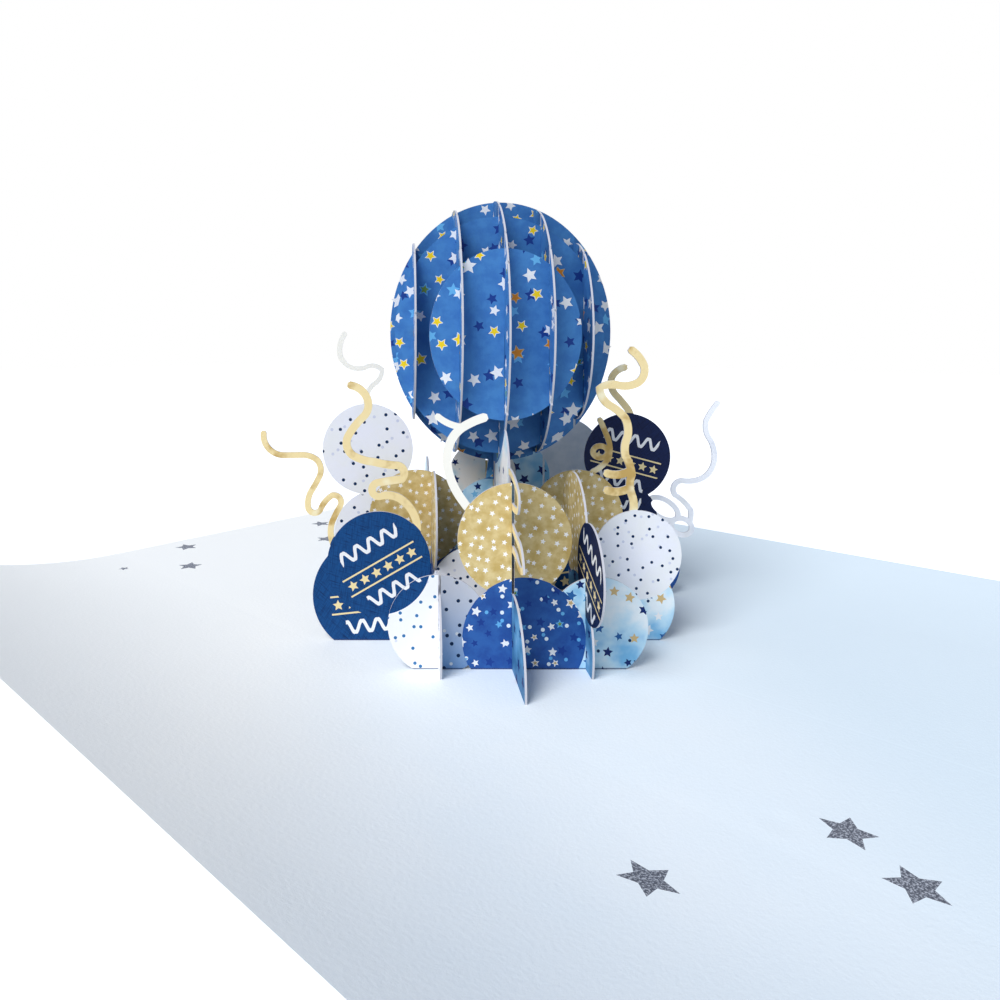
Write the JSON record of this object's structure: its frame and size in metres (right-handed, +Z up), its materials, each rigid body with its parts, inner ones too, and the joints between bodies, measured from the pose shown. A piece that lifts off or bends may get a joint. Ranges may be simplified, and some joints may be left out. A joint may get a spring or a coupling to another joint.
{
  "type": "pop up card",
  "caption": "Greeting card lying open with a slotted paper lattice standing on it: a heap of round balloons, curling streamers and a large round balloon on top.",
  "frame": {"origin": "middle of the card's flat underside, on the fold line", "axes": "+Z up from the surface that the open card lies on, +Y along the fold, +X across the pages"},
  "size_m": [0.1961, 0.21, 0.0911],
  "materials": {
    "cover_card": "smooth uncoated card, matt",
    "inner_paper": "smooth printed paper, pale blue-white with dark glitter stars, matt",
    "balloon_print_card": "printed die-cut card with white cut edges, satin",
    "blue_print_card": "printed royal blue die-cut card with stars and white cut edges, satin"
  },
  "bodies": {
    "root": {"card_cover": "cover_card", "inner_sheet": "inner_paper", "front_row_slice": "balloon_print_card", "second_row_slice": "balloon_print_card", "middle_row_slice": "balloon_print_card", "fourth_row_slice": "balloon_print_card", "back_row_slice": "balloon_print_card", "left_cross_slice": "balloon_print_card", "centre_cross_slice": "balloon_print_card", "right_cross_slice": "balloon_print_card", "row_disc_front_outer": "blue_print_card", "row_disc_front_inner": "blue_print_card", "row_disc_back_inner": "blue_print_card", "row_disc_back_outer": "blue_print_card", "cross_disc_left_outer": "blue_print_card", "cross_disc_left_inner": "blue_print_card", "cross_disc_right_inner": "blue_print_card", "cross_disc_right_outer": "blue_print_card"}
  },
  "joints": []
}
